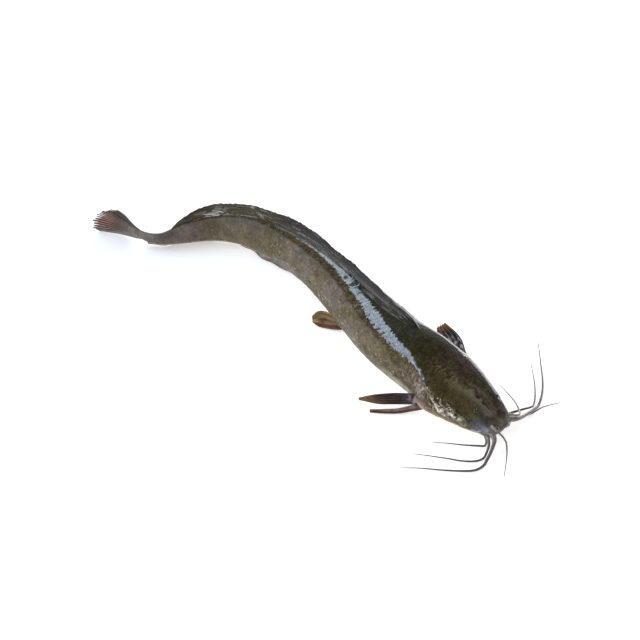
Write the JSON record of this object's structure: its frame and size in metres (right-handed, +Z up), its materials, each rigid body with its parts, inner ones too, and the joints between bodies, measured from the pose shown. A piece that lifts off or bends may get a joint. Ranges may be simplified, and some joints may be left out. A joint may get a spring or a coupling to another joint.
{
  "type": "walking catfish",
  "caption": "Whole fresh walking catfish lying on its belly in a slow S bend: broad flat head with long barbels, long low back fin and a rounded tail fin.",
  "frame": {"origin": "on the ground, under the middle of the fish's bounding box", "axes": "+X from the tail towards the head, +Y to the fish's left, +Z up"},
  "size_m": [0.3176, 0.1314, 0.0364],
  "materials": {
    "wet_skin": "wet, smooth and scaleless, glossy"
  },
  "bodies": {
    "root": {"walking_catfish": "wet_skin"}
  },
  "joints": []
}
